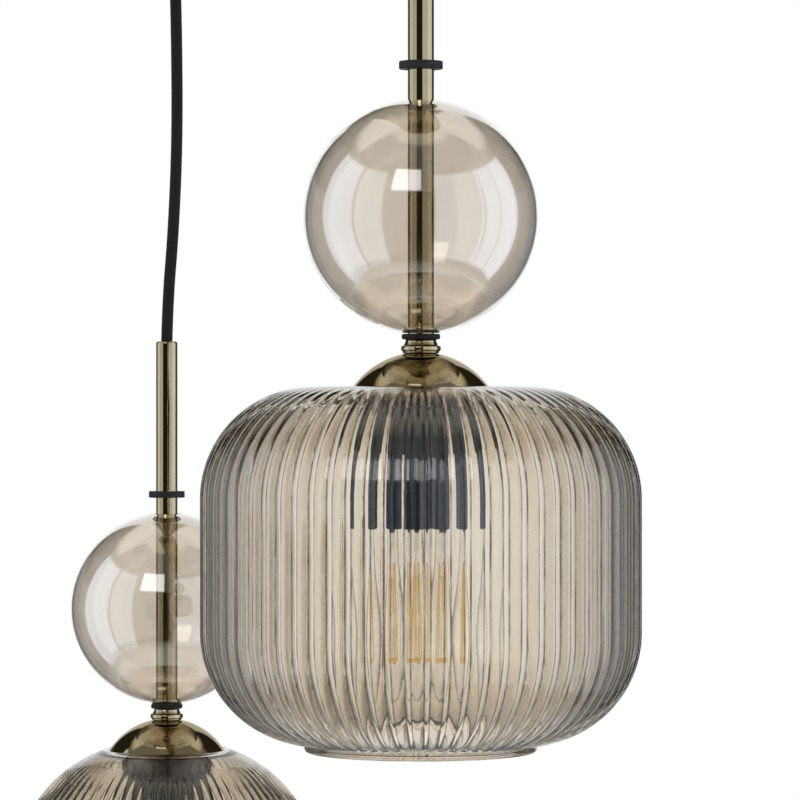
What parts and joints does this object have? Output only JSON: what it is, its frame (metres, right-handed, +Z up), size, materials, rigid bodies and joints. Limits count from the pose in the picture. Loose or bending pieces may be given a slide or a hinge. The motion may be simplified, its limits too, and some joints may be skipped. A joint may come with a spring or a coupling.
{
  "type": "cluster pendant",
  "caption": "Cluster pendant: drops of brass tube, clear glass ball and ribbed glass shade on black cords under one long ceiling plate.",
  "frame": {"origin": "centre of the bracket's ceiling face, midway between the two drops", "axes": "+Z up, +X along the ceiling plate towards the drum drop"},
  "size_m": [0.6213, 0.2008, 0.7081],
  "materials": {
    "polished_brass": "polished antique brass, lacquered",
    "zinc_steel": "zinc plated",
    "cord_fabric": "braided black textile over three cores",
    "black_rubber": "matte",
    "black_nylon": "matte nylon",
    "ball_glass": "clear blown glass with a faint smoky tint",
    "shade_glass": "tea-tinted ribbed glass with an iridescent lustre",
    "bulb_glass": "clear glass",
    "holder_black": "moulded black phenolic",
    "white_porcelain": "glazed porcelain",
    "contact_brass": "bright",
    "bulb_cap_metal": "bright nickel plated",
    "filament_yellow": "phosphor coated filament rods",
    "block_plastic": "white moulded"
  },
  "bodies": {
    "root": {"ceiling_bracket": "zinc_steel", "canopy": "polished_brass", "canopy_screws": "polished_brass", "terminal_block": "block_plastic", "terminal_screws": "zinc_steel", "block_screws": "zinc_steel", "earth_screw": "contact_brass", "outlet_bodies": "polished_brass", "outlet_rings": "polished_brass", "outlet_nuts": "zinc_steel", "drum_leads": "cord_fabric", "globe_leads": "cord_fabric"},
    "drum_swivel": {"drum_swivel_ball": "black_nylon"},
    "drum_drop": {"drum_cord": "cord_fabric", "drum_tube_bush": "black_nylon", "drum_tube": "polished_brass", "drum_inner_cord": "cord_fabric", "drum_ball_gasket": "black_rubber", "drum_coupler": "polished_brass", "drum_nipple": "zinc_steel", "drum_nipple_nut": "zinc_steel", "drum_dome": "polished_brass", "drum_seat_washer": "black_rubber", "drum_shade": "shade_glass", "drum_shade_ring": "holder_black", "drum_holder_cap": "holder_black", "drum_holder_body": "holder_black", "drum_holder_insert": "white_porcelain", "drum_holder_contacts": "contact_brass"},
    "drum_ring": {"drum_stop_ring": "black_rubber"},
    "drum_ball": {"drum_glass_ball": "ball_glass"},
    "drum_bulb": {"drum_bulb_cap": "bulb_cap_metal", "drum_bulb_glass": "bulb_glass", "drum_bulb_stem": "bulb_glass", "drum_bulb_filaments": "filament_yellow"},
    "globe_swivel": {"globe_swivel_ball": "black_nylon"},
    "globe_drop": {"globe_cord": "cord_fabric", "globe_tube_bush": "black_nylon", "globe_tube": "polished_brass", "globe_inner_cord": "cord_fabric", "globe_ball_gasket": "black_rubber", "globe_coupler": "polished_brass", "globe_nipple": "zinc_steel", "globe_nipple_nut": "zinc_steel", "globe_dome": "polished_brass", "globe_seat_washer": "black_rubber", "globe_shade": "shade_glass", "globe_shade_ring": "holder_black", "globe_holder_cap": "holder_black", "globe_holder_body": "holder_black", "globe_holder_insert": "white_porcelain", "globe_holder_contacts": "contact_brass"},
    "globe_ring": {"globe_stop_ring": "black_rubber"},
    "globe_ball": {"globe_glass_ball": "ball_glass"},
    "globe_bulb": {"globe_bulb_cap": "bulb_cap_metal", "globe_bulb_glass": "bulb_glass", "globe_bulb_stem": "bulb_glass", "globe_bulb_filaments": "filament_yellow"}
  },
  "joints": [
    {"name": "drum_swing_across", "type": "hinge", "parent": "root", "child": "drum_swivel", "pos_m": [0.216, 0, -0.036], "axis": [1, 0, 0], "range_deg": [-10, 10]},
    {"name": "drum_swing_along", "type": "hinge", "parent": "drum_swivel", "child": "drum_drop", "pos_m": [0.216, 0, -0.036], "axis": [0, 1, 0], "range_deg": [-10, 10]},
    {"name": "drum_ring_slide", "type": "slide", "parent": "drum_drop", "child": "drum_ring", "axis": [0, 0, 1], "range_m": [-0.0139, 0.076]},
    {"name": "drum_ball_spin", "type": "hinge", "parent": "drum_drop", "child": "drum_ball", "pos_m": [0.216, 0, -0.27], "axis": [0, 0, 1], "continuous": true},
    {"name": "drum_bulb_unscrew", "type": "slide", "parent": "drum_drop", "child": "drum_bulb", "axis": [0, 0, -1], "range_m": [0, 0.028]},
    {"name": "globe_swing_across", "type": "hinge", "parent": "root", "child": "globe_swivel", "pos_m": [-0.216, 0, -0.036], "axis": [1, 0, 0], "range_deg": [-10, 10]},
    {"name": "globe_swing_along", "type": "hinge", "parent": "globe_swivel", "child": "globe_drop", "pos_m": [-0.216, 0, -0.036], "axis": [0, 1, 0], "range_deg": [-10, 10]},
    {"name": "globe_ring_slide", "type": "slide", "parent": "globe_drop", "child": "globe_ring", "axis": [0, 0, 1], "range_m": [-0.0086, 0.082]},
    {"name": "globe_ball_spin", "type": "hinge", "parent": "globe_drop", "child": "globe_ball", "pos_m": [-0.216, 0, -0.27], "axis": [0, 0, 1], "continuous": true},
    {"name": "globe_bulb_unscrew", "type": "slide", "parent": "globe_drop", "child": "globe_bulb", "axis": [0, 0, -1], "range_m": [0, 0.028]}
  ]
}
